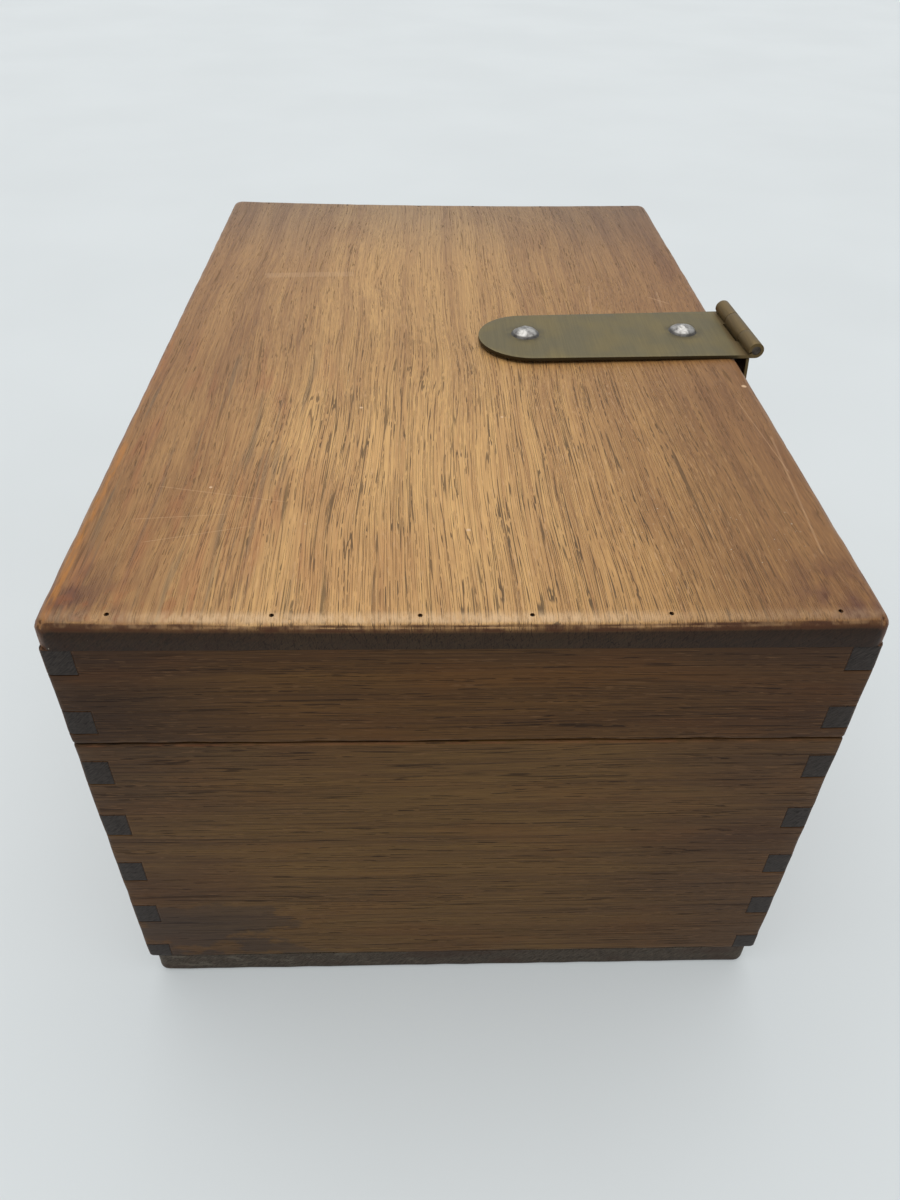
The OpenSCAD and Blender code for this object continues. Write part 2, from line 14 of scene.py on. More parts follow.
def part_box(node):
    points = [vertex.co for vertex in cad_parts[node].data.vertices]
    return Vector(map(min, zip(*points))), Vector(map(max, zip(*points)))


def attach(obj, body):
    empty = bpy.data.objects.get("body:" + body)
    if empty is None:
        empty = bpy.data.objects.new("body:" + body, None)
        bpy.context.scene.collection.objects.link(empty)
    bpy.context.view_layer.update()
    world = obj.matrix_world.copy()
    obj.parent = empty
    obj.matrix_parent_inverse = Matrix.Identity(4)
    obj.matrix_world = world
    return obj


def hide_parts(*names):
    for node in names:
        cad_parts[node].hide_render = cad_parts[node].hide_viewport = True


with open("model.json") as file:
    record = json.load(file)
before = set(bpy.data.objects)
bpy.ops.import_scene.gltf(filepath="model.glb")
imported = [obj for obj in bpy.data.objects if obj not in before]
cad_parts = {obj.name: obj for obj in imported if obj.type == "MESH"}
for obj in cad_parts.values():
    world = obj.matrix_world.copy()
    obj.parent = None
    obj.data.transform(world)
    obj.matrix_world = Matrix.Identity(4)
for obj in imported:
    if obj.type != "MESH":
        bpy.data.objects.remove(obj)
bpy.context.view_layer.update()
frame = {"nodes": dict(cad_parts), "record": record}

MM = 0.001
NODES = frame["nodes"]
BODIES = frame["record"]["behaviour"]["bodies"]
BODY_OF = {node: body for body, members in BODIES.items() for node in members}
CASE_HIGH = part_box("body_right_end")[1]
HALF_LEN, HALF_WID = CASE_HIGH.x, CASE_HIGH.y
PARTING = (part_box("body_front_board")[1].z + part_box("lid_front_rail")[0].z) / 2

# Rounding of each block's upright corners and of its level edges, and how deep its dents are
TOP_CORNER, TOP_ARRIS, TOP_WEAR = 5 * MM, 4.4 * MM, 0.24
BOX_CORNER, BOX_ARRIS, BOX_WEAR = 1.8 * MM, 0.8 * MM, 0.25
BASE_CORNER, BASE_ARRIS, BASE_WEAR = 4.6 * MM, 1.8 * MM, 0.3
FINGER_EASE = 0.12 * MM
TOP_CUP = 1.3 * MM
PIT_FLOOR, PIT_MOUTH = 0.7 * MM, 0.95 * MM
SCREW_HEAD, SCREW_SHANK = 2.9 * MM, 1.5 * MM

# Hasp, rivets and felts
STRAP_THICK = 1.4 * MM
TAIL_RADIUS = 4.1 * MM
TAIL_HEIGHT = 1.4 * MM
BEATEN_BITE = 0.34 * MM
BEATEN_FLATS = 11
RIVET_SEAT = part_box("hasp_strap")[0].z + STRAP_THICK
TUBE_FELT_LONG = 84.8 * MM
FOOT_FELT_LONG = 166 * MM


# Colours

def tone(red, green, blue):
    """A colour from its 0 to 255 values as seen on a screen."""
    def linear(value):
        c = value / 255
        return c / 12.92 if c <= 0.04045 else ((c + 0.055) / 1.055) ** 2.4
    return (linear(red), linear(green), linear(blue), 1.0)


# Node graphs

class Graph:
    """One material's nodes. Lengths in it are millimetres in the case's own frame."""

    def __init__(self, name):
        self.material = bpy.data.materials.new(name)
        self.material.use_nodes = True
        self.tree = self.material.node_tree
        self.tree.nodes.clear()
        self.output = self.tree.nodes.new("ShaderNodeOutputMaterial")
        self.coordinates = self.tree.nodes.new("ShaderNodeTexCoord")

    def feed(self, socket, value):
        if isinstance(value, bpy.types.NodeSocket):
            self.tree.links.new(value, socket)
        else:
            socket.default_value = value

    def node(self, kind, inputs=None, **settings):
        made = self.tree.nodes.new("ShaderNode" + kind)
        for key, value in settings.items():
            setattr(made, key, value)
        for key, value in (inputs or {}).items():
            self.feed(made.inputs[key], value)
        return made

    def math(self, operation, a, b=0.0, clamp=False):
        return self.node("Math", {0: a, 1: b}, operation=operation, use_clamp=clamp).outputs[0]

    def add(self, a, b):
        return self.math("ADD", a, b)

    def times(self, a, b):
        return self.math("MULTIPLY", a, b)

    def step(self, value, low, high, start=0.0, end=1.0):
        """Goes smoothly from start to end while the value goes from low to high."""
        limits = {"From Min": low, "From Max": high, "To Min": start, "To Max": end}
        ranged = self.node("MapRange", {"Value": value, **limits}, interpolation_type="SMOOTHSTEP")
        return ranged.outputs["Result"]

    def band(self, value, low, high, soft):
        """1 between low and high, fading to 0 over the soft distance outside."""
        rise = self.step(value, low - soft, low)
        fall = self.step(value, high, high + soft, 1.0, 0.0)
        return self.times(rise, fall)

    def place(self):
        """The point in the case's own frame, in millimetres, as three sockets."""
        point = self.coordinates.outputs["Object"]
        scaled = self.node("VectorMath", {0: point, 3: 1 / MM}, operation="SCALE")
        split = self.node("SeparateXYZ", {0: scaled.outputs[0]})
        return [split.outputs[i] for i in range(3)]

    def facing(self, axis):
        """How squarely the surface faces along an axis, either way."""
        split = self.node("SeparateXYZ", {0: self.coordinates.outputs["Normal"]})
        return self.math("ABSOLUTE", split.outputs["XYZ".index(axis)])

    def point(self, a, b, c):
        return self.node("CombineXYZ", {0: a, 1: b, 2: c}).outputs[0]

    def noise(self, sizes, place, detail=0.0, roughness=0.5, seed=0.0):
        """Noise whose grains measure about these sizes along the three directions."""
        parts = [self.times(p, 1 / s) if s else 0.0 for p, s in zip(place, sizes)]
        inputs = {"Vector": self.point(*parts), "W": seed, "Scale": 1.0, "Detail": detail}
        inputs["Roughness"] = roughness
        return self.node("TexNoise", inputs, noise_dimensions="4D").outputs["Fac"]

    def mix(self, share, a, b, blend="MIX"):
        made = self.node("Mix", {0: share, 6: a, 7: b}, data_type="RGBA", blend_type=blend)
        return made.outputs[2]

    def tint(self, share, colour, by):
        """The colour, multiplied by another over this share."""
        return self.mix(share, colour, self.mix(1.0, colour, by, "MULTIPLY"))

    def grey(self, value):
        return self.node("CombineColor", {0: value, 1: value, 2: value}).outputs[0]

    def attribute(self, name):
        return self.node("Attribute", attribute_name=name).outputs["Fac"]

    def bump(self, height, depth, strength=1.0, normal=None):
        """Turns a height of 0 to 1 into relief that is depth millimetres deep."""
        inputs = {"Height": height, "Distance": depth * MM, "Strength": strength}
        if normal is not None:
            inputs["Normal"] = normal
        return self.node("Bump", inputs).outputs[0]

    def surface(self, colour, roughness, normal=None, **numbers):
        shader = self.node("BsdfPrincipled", {"Base Color": colour, "Roughness": roughness})
        if normal is not None:
            self.feed(shader.inputs["Normal"], normal)
        for key, value in numbers.items():
            shader.inputs[key.replace("_", " ")].default_value = value
        self.tree.links.new(shader.outputs[0], self.output.inputs[0])
        return self.material


# Wood

TOP_TONES = dict(dark=tone(146, 105, 64), light=tone(194, 151, 94), stain=tone(142, 96, 58),
                 end=tone(34, 19, 10), pore=tone(58, 48, 36), rub=tone(206, 164, 118))
END_TONES = dict(dark=tone(88, 60, 30), light=tone(120, 88, 44), stain=tone(88, 53, 32),
                 end=tone(48, 43, 40), pore=tone(36, 23, 14), rub=tone(128, 92, 58))
SIDE_TONES = dict(dark=tone(84, 54, 32), light=tone(122, 86, 50), stain=tone(82, 48, 32),
                  end=tone(47, 42, 39), pore=tone(34, 26, 22), rub=tone(118, 82, 54))
BASE_TONES = dict(dark=tone(76, 68, 56), light=tone(108, 98, 80), stain=tone(72, 56, 44),
                  end=tone(78, 68, 58), pore=tone(46, 40, 32), rub=tone(128, 118, 100))
PALE_TONES = dict(dark=tone(142, 104, 64), light=tone(190, 152, 104), stain=tone(134, 92, 58),
                  end=tone(120, 88, 58), pore=tone(92, 62, 38), rub=tone(196, 160, 114))


def veins(g, grain, run, gap, thin, seed):
    """1 on fine lines that follow the grain, about gap millimetres apart."""
    field = g.noise((run, gap, gap * 6), grain, seed=seed)
    off = g.math("ABSOLUTE", g.add(field, -0.5))
    return g.step(off, thin * 0.4, thin, 1.0, 0.0)


def pores_of(g, grain, dense, seed):
    """Short open pores and long thin lines along the grain, more of them where it is dense."""
    lift = g.times(dense, 0.13)
    broken = g.add(g.noise((4.5, 0.7, 0.7), grain, detail=0.5, seed=seed + 6), lift)
    dashes = g.times(veins(g, grain, 60, 0.75, 0.034, seed + 5), g.step(broken, 0.48, 0.56))
    parted = g.add(g.noise((24, 2, 2), grain, detail=1, seed=seed + 8), lift)
    lines = g.times(veins(g, grain, 150, 1.7, 0.018, seed + 7), g.step(parted, 0.5, 0.62))
    return g.math("MAXIMUM", dashes, g.times(lines, 0.9))


def flecks_of(g, grain, seed):
    """Light flecks between the pores."""
    short = g.noise((4, 0.7, 0.7), grain, seed=seed + 10)
    return g.times(veins(g, grain, 26, 0.7, 0.045, seed + 9), g.step(short, 0.5, 0.6))


def end_grain(g, raw, tones, seed):
    """The dark cut ends of the fibres, hatched aslant."""
    slant = [0, g.add(raw[1], raw[2]), g.add(raw[1], g.times(raw[2], -1))]
    hatch = g.noise((0, 0.6, 5), slant, detail=2, roughness=0.6, seed=seed + 11)
    return g.mix(1.0, tones["end"], g.grey(g.step(hatch, 0.32, 0.68, 1.5, 0.45)), "MULTIPLY")


def wood(name, along, across, tones, seed, sheen=0.46, straight=3.0, ground=None, crowd=None, marks=None):
    """Open-pored wood whose grain runs along one axis; across is the board's broad direction.

    ground tints the plain wood, crowd says how thickly the pores stand, and marks lie over everything.
    """
    g = Graph(name)
    x, y, z = g.place()
    by_axis = dict(X=x, Y=y, Z=z)
    through = ({"X", "Y", "Z"} - {along, across}).pop()
    raw = [by_axis[along], by_axis[across], by_axis[through]]

    wander = g.noise((150, 60, 60), raw, detail=1.5, seed=seed)
    drift = g.times(g.add(wander, -0.5), straight)
    grain = [raw[0], g.add(raw[1], drift), g.add(raw[2], drift)]

    rings = g.noise((500, 9, 12), grain, detail=3, roughness=0.6, seed=seed + 1)
    streaks = g.noise((70, 0.8, 1.0), grain, detail=2, roughness=0.6, seed=seed + 2)
    fibre = g.noise((12, 0.26, 0.26), grain, detail=1, seed=seed + 3)
    blotch = g.noise((90, 48, 60), raw, detail=3, roughness=0.6, seed=seed + 4)

    mellow = g.add(g.times(g.step(rings, 0.3, 0.7), 0.5), g.times(g.step(streaks, 0.3, 0.7), 0.5))
    colour = g.mix(mellow, tones["dark"], tones["light"])
    colour = g.mix(g.step(blotch, 0.5, 0.78, 0.0, 0.45), colour, tones["stain"])
    if ground is not None:
        colour = ground(g, colour, x, y, z)
    colour = g.mix(1.0, colour, g.grey(g.step(fibre, 0.25, 0.75, 0.86, 1.13)), "MULTIPLY")

    dense = crowd(g, x, y, z) if crowd is not None else g.step(rings, 0.35, 0.65, 0.95, 0.45)
    open_pores = pores_of(g, grain, dense, seed)
    light = g.times(flecks_of(g, grain, seed), 0.4)
    colour = g.mix(g.times(light, g.add(0.2, dense)), colour, tones["rub"])
    shade = g.add(0.42, g.times(dense, 0.38))
    colour = g.mix(g.times(open_pores, shade), colour, tones["pore"])

    cut = g.step(g.facing(along), 0.62, 0.97)
    colour = g.mix(g.times(cut, 0.95), colour, end_grain(g, raw, tones, seed))
    if marks is not None:
        colour = marks(g, colour, x, y, z)

    rub = g.times(g.attribute("edge"), g.step(cut, 0.0, 0.5, 1.0, 0.0))
    worn = g.step(g.noise((11, 4, 4), raw, detail=3, seed=seed + 12), 0.46, 0.62)
    colour = g.mix(g.times(g.times(rub, worn), 0.25), colour, tones["rub"])

    height = g.add(g.times(open_pores, -0.9), g.times(fibre, 0.25))
    relief = g.bump(g.times(height, g.step(cut, 0.8, 0.1)), 0.08, 0.8)
    swell = g.bump(g.noise((70, 12, 12), raw, detail=2, seed=seed + 13), 0.3, 0.5, relief)
    rough = g.add(g.add(sheen, g.times(open_pores, 0.2)), g.times(blotch, 0.12))
    return g.surface(colour, rough, swell, Specular_IOR_Level=0.2)


def line_mark(g, x, y, start, end, width):
    """1 on a thin line from start to end on the top, in millimetres."""
    run = Vector(end) - Vector(start)
    length = run.length
    ux, uy = run / length
    dx, dy = g.add(x, -start[0]), g.add(y, -start[1])
    on = g.add(g.times(dx, ux), g.times(dy, uy))
    off = g.math("ABSOLUTE", g.add(g.times(dx, -uy), g.times(dy, ux)))
    return g.times(g.band(on, 0, length, 3), g.step(off, width / 2, width, 1.0, 0.0))


def spot(g, x, y, centre, radius, soft=0.5):
    """1 in a round spot on the top, fading from a share of its radius outwards."""
    dx, dy = g.add(x, -centre[0]), g.add(y, -centre[1])
    away = g.math("SQRT", g.add(g.times(dx, dx), g.times(dy, dy)))
    return g.step(away, radius * soft, radius, 1.0, 0.0)


# Tints and tones of the top, with painted shade, reflection and sheen among the tints
SIDE_SHADE_TINT = (0.63, 0.56, 0.56, 1.0)
RIGHT_SHADE_TINT = (0.87, 0.84, 0.78, 1.0)
FAR_SHADE_TINT = (0.68, 0.74, 0.94, 1.0)
NEAR_SHEEN_TINT = (1.30, 1.35, 1.42, 1.0)
GREY_STREAK = tone(92, 82, 66)
RED_STREAK = tone(150, 88, 54)
CORNER_DARK = tone(84, 48, 38)
CORNER_RUST = tone(146, 86, 48)
RIM_WEAR_AND_HIGHLIGHT = tone(216, 180, 138)
LIP_BROWN = tone(70, 40, 22)
RUBBED_ORANGE = tone(172, 114, 54)
OUTER_BROWN = tone(104, 60, 38)
SCRATCH_PALE = tone(206, 164, 122)
SCUFF_PALE = tone(198, 160, 120)
CHIP_PALE = tone(222, 186, 148)
DUST_PALE = tone(214, 200, 178)

# Places on the top in millimetres: a mark grows from one value of a pair to the other, or lies between them
STAINED_X, STAINED_Y = (-150, -184), (84, 112)
RUST_X, RUST_Y = (-168, -182), (84, 116)
RIM_X, BRIGHT_RIM_Y = (-183, -187), (-30, 66)
RUBBED_X, RUBBED_Y = (-186, -96), (118.2, 119.8)
THIN_X, THIN_Y = (-96, 0), (119.0, 120.4)
OUTER_X, OUTER_Y = (140, 0), (120.4, 121.6)
DUST_X, DUST_Y = (-160, -136), (-98, -66)

# Lines as start, end and width, and chips as centre and radius
SCRATCHES = [((-88, -117), (-157, -112), 0.5), ((52, -102), (37, -101), 0.8), ((46, -98), (40, -104), 0.7),
             ((60, -70), (20, -66), 0.5), ((-139, 104), (-136, 78), 0.3), ((-151, 98), (-143, 70), 0.3),
             ((-120, 100), (-128, 60), 0.3), ((-60, -112), (-110, -116), 0.3)]
BROAD_SCUFF = ((72, 88), (76, 48), 4.0)
CHIPS = [((-46, -118), 1.3), ((-63, 36), 0.9), ((-144, -2), 0.9), ((-70, -18), 0.7), ((-120, 84), 0.7)]


def top_ground(g, colour, x, y, z):
    """The top's broad tints: golden in the middle, with painted shade making it darker and redder at the
    long edges, painted shade and reflection making it greyer far off, and a painted sheen in the near
    middle.
    """
    waver = g.times(g.add(g.noise((90, 26, 30), (x, y, z), detail=3, seed=31), -0.5), 0.4)
    aside = g.add(g.times(g.math("ABSOLUTE", g.add(y, -8)), 1 / 122.0), waver)
    # Painted shade: darker and redder towards the long edges
    colour = g.tint(g.step(aside, 0.3, 1.05), colour, SIDE_SHADE_TINT)
    # Painted shade: darker towards the right side
    colour = g.tint(g.step(g.add(y, g.times(waver, 90)), 10, -90), colour, RIGHT_SHADE_TINT)
    # Painted shade and reflection: darker and greyer far off
    far = g.math("ADD", g.step(x, 70, 200), g.times(waver, 0.8), clamp=True)
    colour = g.tint(far, colour, FAR_SHADE_TINT)
    # Painted sheen: brighter in the near middle
    near = g.times(g.step(x, 10, -110), g.step(aside, 0.85, 0.3))
    colour = g.tint(near, colour, NEAR_SHEEN_TINT)
    left = g.times(g.step(y, 25, 70), g.step(x, 40, -60))
    ribbons = g.step(g.noise((75, 2.6, 2.6), (x, y, z), detail=2, roughness=0.6, seed=35), 0.54, 0.66)
    colour = g.mix(g.times(g.times(left, ribbons), 0.42), colour, GREY_STREAK)
    red = g.step(g.noise((60, 7, 7), (x, y, z), detail=2, seed=36), 0.5, 0.68)
    return g.mix(g.times(g.times(left, red), 0.4), colour, RED_STREAK)


def top_crowd(g, x, y, z):
    """How thickly the pores stand: thickest near the middle of the near end."""
    waver = g.times(g.add(g.noise((120, 12, 20), (x, y, z), detail=2, seed=37), -0.5), 0.6)
    near = g.step(x, 80, -110)
    middle = g.step(g.math("ABSOLUTE", g.add(y, 8)), 110, 40)
    return g.math("ADD", g.times(g.add(g.times(near, 0.75), 0.2), middle), waver, clamp=True)


def corner_stains(g, colour, x, y, z, on_face):
    """Dark stains at both near corners, and rust-brown patches at the left one."""
    for side in (1, -1):
        corner = g.times(g.step(x, *STAINED_X), g.step(g.times(y, side), *STAINED_Y))
        cloud = g.step(g.noise((14, 7, 7), (x, y, z), detail=3, seed=38 + side), 0.36, 0.6)
        share = g.times(g.times(g.times(corner, cloud), on_face), 0.75)
        colour = g.mix(share, colour, CORNER_DARK)
    warm = g.times(g.times(g.step(x, *RUST_X), g.band(y, *RUST_Y, 8)), on_face)
    patch = g.step(g.noise((9, 5, 5), (x, y, z), detail=3, seed=40), 0.5, 0.62)
    return g.mix(g.times(g.times(warm, patch), 0.45), colour, CORNER_RUST)


def near_lip(g, colour, x, y, z, turn, on_face):
    """The near edge: a painted highlight, pale and nicked by wear, where the face turns over, and brown
    below that.
    """
    # Painted highlight along the rim, broken by wear nicks
    rim = g.times(g.step(x, *RIM_X), on_face)
    bright = g.band(y, *BRIGHT_RIM_Y, 40)
    nicks = g.step(g.noise((3, 1.2, 3), (x, y, z), detail=3, seed=41), 0.36, 0.6, 0.45, 1.0)
    share = g.times(g.times(rim, nicks), g.add(g.times(bright, 0.55), 0.2))
    colour = g.mix(share, colour, RIM_WEAR_AND_HIGHLIGHT)
    lip = g.band(turn, 0.66, 0.84, 0.12)
    shine = g.step(g.noise((6, 5, 4), (x, y, z), detail=3, seed=48), 0.4, 0.62, 0.95, 0.6)
    return g.mix(g.times(lip, shine), colour, LIP_BROWN)


def rubbed_side(g, colour, x, y, z, on_face):
    """The orange line where the finish is rubbed through along the left edge, and the brown outside it."""
    rubbed = g.times(g.times(g.band(y, *RUBBED_Y, 0.8), g.band(x, *RUBBED_X, 14)), on_face)
    thin = g.times(g.band(y, *THIN_Y, 0.7), g.band(x, *THIN_X, 40))
    chew = g.step(g.noise((9, 1.4, 2), (x, y, z), detail=3, seed=42), 0.38, 0.6, 0.15, 1.0)
    rubbed = g.math("MAXIMUM", rubbed, g.times(thin, 0.5))
    colour = g.mix(g.times(g.times(rubbed, chew), 0.85), colour, RUBBED_ORANGE)
    outer = g.times(g.step(g.math("ABSOLUTE", y), *OUTER_Y), g.step(x, *OUTER_X))
    return g.mix(g.times(outer, 0.5), colour, OUTER_BROWN)


def scratches(g, colour, x, y, z):
    """Scratches, a broad scuff, chips and specks of dust."""
    for line in SCRATCHES:
        colour = g.mix(g.times(line_mark(g, x, y, *line), 0.26), colour, SCRATCH_PALE)
    colour = g.mix(g.times(line_mark(g, x, y, *BROAD_SCUFF), 0.25), colour, SCUFF_PALE)
    for centre, radius in CHIPS:
        colour = g.mix(g.times(spot(g, x, y, centre, radius), 0.85), colour, CHIP_PALE)
    cluster = g.times(g.band(x, *DUST_X, 14), g.band(y, *DUST_Y, 18))
    flecks = g.step(g.noise((1.1, 1.1, 1.1), (x, y, z), detail=1, seed=33), 0.735, 0.76)
    stray = g.times(g.step(g.noise((1.3, 1.3, 1.3), (x, y, z), detail=1, seed=34), 0.80, 0.82), 0.7)
    specks = g.math("MAXIMUM", g.times(flecks, cluster), stray)
    return g.mix(g.times(specks, 0.8), colour, DUST_PALE)


def top_marks(g, colour, x, y, z):
    """The top board's own marks. turn is 0 on its face and 1 on its near end."""
    turn = g.times(g.facing("X"), g.step(x, 0, -1))
    on_face = g.step(turn, 0.6, 0.35)
    colour = corner_stains(g, colour, x, y, z, on_face)
    colour = near_lip(g, colour, x, y, z, turn, on_face)
    colour = rubbed_side(g, colour, x, y, z, on_face)
    return scratches(g, colour, x, y, z)


# Tints and tones of the end boards, with painted shade, a painted shadow and a painted highlight among
# them, and heights in millimetres
LID_TINT = (0.80, 0.70, 0.56, 1.0)
EDGE_TINT = (0.66, 0.61, 0.72, 1.0)
UPPER_LEFT_TINT = (0.62, 0.64, 0.82, 1.0)
WARM_BROWN = tone(112, 72, 32)
STAIN_DARK = tone(50, 42, 40)
UNDER_TOP_SHADE = tone(58, 38, 24)
PARTING_WEAR_AND_HIGHLIGHT = tone(132, 84, 52)
PARTING_SHADOW = tone(30, 18, 12)
SPECK_PALE = tone(178, 150, 124)
STAIN_Z, STAIN_Y = (66, 34), (20, 85)
UNDER_TOP_Z = (168, 179.5)


def end_ground(g, colour, x, y, z):
    """Broad tints of the end boards: olive and paler in the middle, purplish and dark at the sides."""
    waver = g.times(g.add(g.noise((40, 60, 22), (x, y, z), detail=3, seed=41), -0.5), 0.7)
    aside = g.add(g.times(g.math("ABSOLUTE", g.add(y, -14)), 1 / 122.0), waver)
    colour = g.tint(g.step(aside, 0.25, 1.05), colour, EDGE_TINT)
    upper_left = g.times(g.step(g.add(y, g.times(waver, 40)), 50, 108), g.step(z, 95, 150))
    colour = g.tint(upper_left, colour, UPPER_LEFT_TINT)
    warm = g.step(g.noise((40, 60, 16), (x, y, z), detail=2, seed=44), 0.5, 0.7)
    colour = g.mix(g.times(warm, 0.35), colour, WARM_BROWN)
    on_lid = g.step(z, PARTING / MM, PARTING / MM + 0.1)
    return g.tint(on_lid, colour, LID_TINT)


def end_marks(g, colour, x, y, z):
    """Stains and specks of the end boards, painted shade under the top board, a painted shadow in the
    parting gap, and a pale line on the body's upper edge that is part rubbed wear and part painted
    highlight.
    """
    low_left = g.times(g.step(z, *STAIN_Z), g.step(y, *STAIN_Y))
    patches = g.noise((26, 26, 15), (x, y, z), detail=5, roughness=0.6, seed=42)
    cloud = g.step(g.add(patches, g.times(low_left, 0.2)), 0.62, 0.68)
    colour = g.mix(g.times(g.times(cloud, low_left), 0.55), colour, STAIN_DARK)
    # Painted shade, darker upwards to the top board's underside
    colour = g.mix(g.times(g.step(z, *UNDER_TOP_Z), 0.3), colour, UNDER_TOP_SHADE)
    parting = PARTING / MM
    # A pale line on the body's upper arris: part rubbed wear, part painted highlight
    fray = g.step(g.noise((8, 8, 8), (x, y, z), detail=3, seed=45), 0.4, 0.6)
    lip = g.band(z, parting - 0.9, parting - 0.6, 0.3)
    colour = g.mix(g.times(g.times(lip, fray), 0.5), colour, PARTING_WEAR_AND_HIGHLIGHT)
    # Painted shadow in the parting gap, on the lid's lower arris
    shade = g.band(z, parting, parting + 0.5, 0.3)
    colour = g.mix(g.times(shade, 0.7), colour, PARTING_SHADOW)
    specks = g.step(g.noise((1.4, 1.4, 1.4), (x, y, z), detail=1, seed=43), 0.80, 0.83)
    return g.mix(g.times(specks, 0.45), colour, SPECK_PALE)


BASE_SCUFF = tone(120, 112, 98)
BASE_RED = tone(66, 46, 36)
BASE_FOOT_SHADE = tone(56, 48, 42)


def base_marks(g, colour, x, y, z):
    """Pale scuffs of the base board where the case was set down, most on the left, and painted shade
    darkening its lowest edge towards the floor.
    """
    scuff = g.step(g.noise((9, 7, 3), (x, y, z), detail=5, roughness=0.7, seed=51), 0.52, 0.62)
    share = g.step(y, -20, 118, 0.15, 0.6)
    colour = g.mix(g.times(scuff, share), colour, BASE_SCUFF)
    red = g.step(g.noise((30, 24, 9), (x, y, z), detail=3, seed=52), 0.5, 0.64)
    colour = g.mix(g.times(red, 0.5), colour, BASE_RED)
    # Painted shade: darker towards the floor at the board's lowest edge
    return g.mix(g.step(z, 3.2, 0.6, 0.0, 0.5), colour, BASE_FOOT_SHADE)


# Metal and felt

# Where the hasp turns down past the case, and the grime round a rivet, in millimetres
HASP_BEND_Y = (-124, -121)
HALO_RADIUS, HALO_Z = 10.5, (188, 189)


def aged_brass(name, seed, dull=tone(100, 91, 65), warm=tone(110, 98, 66), side_shade=0.8):
    """Brass gone olive and brown, with fine lines across, grime round the rivets and painted shade on its
    upright sides.
    """
    g = Graph(name)
    x, y, z = g.place()
    cloud = g.noise((20, 16, 16), (x, y, z), detail=3, seed=seed)
    lines = g.noise((20, 0.35, 3), (x, y, z), detail=2, seed=seed + 1)
    pits = g.step(g.noise((0.9, 0.9, 0.9), (x, y, z), detail=2, seed=seed + 2), 0.68, 0.76)
    colour = g.mix(g.step(cloud, 0.4, 0.66), dull, warm)
    colour = g.mix(g.step(y, *HASP_BEND_Y, 0.6, 0.0), colour, tone(104, 82, 50))
    colour = g.mix(1.0, colour, g.grey(g.step(lines, 0.3, 0.7, 0.9, 1.1)), "MULTIPLY")
    colour = g.mix(g.times(pits, 0.35), colour, tone(70, 60, 40))
    stained = g.step(g.noise((5, 5, 5), (x, y, z), detail=3, seed=seed + 3), 0.35, 0.6)
    for centre in rivet_spots():
        halo = g.times(spot(g, x, y, centre, HALO_RADIUS, 0.55), g.step(z, *HALO_Z))
        colour = g.mix(g.times(g.times(halo, stained), 0.5), colour, tone(62, 58, 50))
    # Painted shade: the strap's upright sides darkened
    flank = g.times(g.step(g.facing("Z"), 0.5, 0.1), g.step(y, *HASP_BEND_Y))
    colour = g.mix(g.times(flank, side_shade), colour, tone(50, 40, 22))
    rough = g.add(0.38, g.add(g.times(cloud, 0.2), g.times(lines, 0.08)))
    relief = g.bump(lines, 0.02, 0.7)
    return g.surface(colour, rough, g.bump(pits, -0.03, 0.6, relief), Metallic=0.86)


def plain_metal(name, colour_a, colour_b, roughness, seed):
    """Bare steel or tin, spotted by age."""
    g = Graph(name)
    place = g.place()
    cloud = g.noise((4, 4, 4), place, detail=4, seed=seed)
    fine = g.noise((0.7, 0.7, 0.7), place, detail=2, seed=seed + 1)
    colour = g.mix(g.step(cloud, 0.35, 0.65), colour_a, colour_b)
    rough = g.add(roughness, g.times(fine, 0.18))
    return g.surface(colour, rough, g.bump(fine, 0.04, 0.5), Metallic=0.95)


def felt_cloth():
    """Pressed green wool felt with paler fibres."""
    g = Graph("felt_cloth")
    place = g.place()
    fuzz = g.noise((0.5, 0.5, 0.5), place, detail=4, roughness=0.7, seed=71)
    cloud = g.noise((9, 9, 9), place, detail=2, seed=72)
    colour = g.mix(g.step(fuzz, 0.3, 0.7), tone(26, 58, 38), tone(62, 104, 72))
    colour = g.mix(g.times(cloud, 0.3), colour, tone(40, 70, 44))
    return g.surface(colour, 0.95, g.bump(fuzz, 0.35, 0.9), Sheen_Weight=0.4, Sheen_Roughness=0.5)


def beaten_tin():
    """The rivets' metal: bright on the crown, with painted shade darkening it towards its foot."""
    g = Graph("rivet_metal")
    x, y, z = place = g.place()
    cloud = g.noise((3, 3, 3), place, detail=4, roughness=0.6, seed=245)
    fine = g.noise((0.6, 0.6, 0.6), place, detail=2, seed=246)
    colour = g.mix(g.step(cloud, 0.36, 0.62), tone(104, 101, 98), tone(168, 165, 160))
    seat = RIVET_SEAT / MM
    # Painted shade: darker towards the foot of each head
    foot = g.add(g.step(z, seat + 1.5, seat + 0.2), g.times(g.add(cloud, -0.5), 0.8))
    colour = g.mix(g.times(g.step(foot, 0.1, 0.8), 0.8), colour, tone(58, 54, 50))
    rough = g.add(0.26, g.times(fine, 0.2))
    return g.surface(colour, rough, g.bump(fine, 0.04, 0.5), Metallic=0.95)


# Meshes

def finish_mesh(bm, name, node, sharp=30):
    """Makes a piece of a mesh that stands for a rigid node and rides where it does."""
    mesh = bpy.data.meshes.new(name)
    bm.to_mesh(mesh)
    bm.free()
    mesh.shade_smooth()
    mesh.set_sharp_from_angle(angle=math.radians(sharp))
    made = bpy.data.objects.new(name, mesh)
    bpy.context.scene.collection.objects.link(made)
    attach(made, BODY_OF[node])
    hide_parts(node)
    return made


def cut_by_planes(bm, axis, places):
    """Adds edges where the planes at these places along an axis cut the mesh."""
    normal = Vector([float(i == axis) for i in range(3)])
    for place in places:
        geometry = bm.verts[:] + bm.edges[:] + bm.faces[:]
        bmesh.ops.bisect_plane(bm, geom=geometry, dist=1e-7, plane_co=normal * place, plane_no=normal)


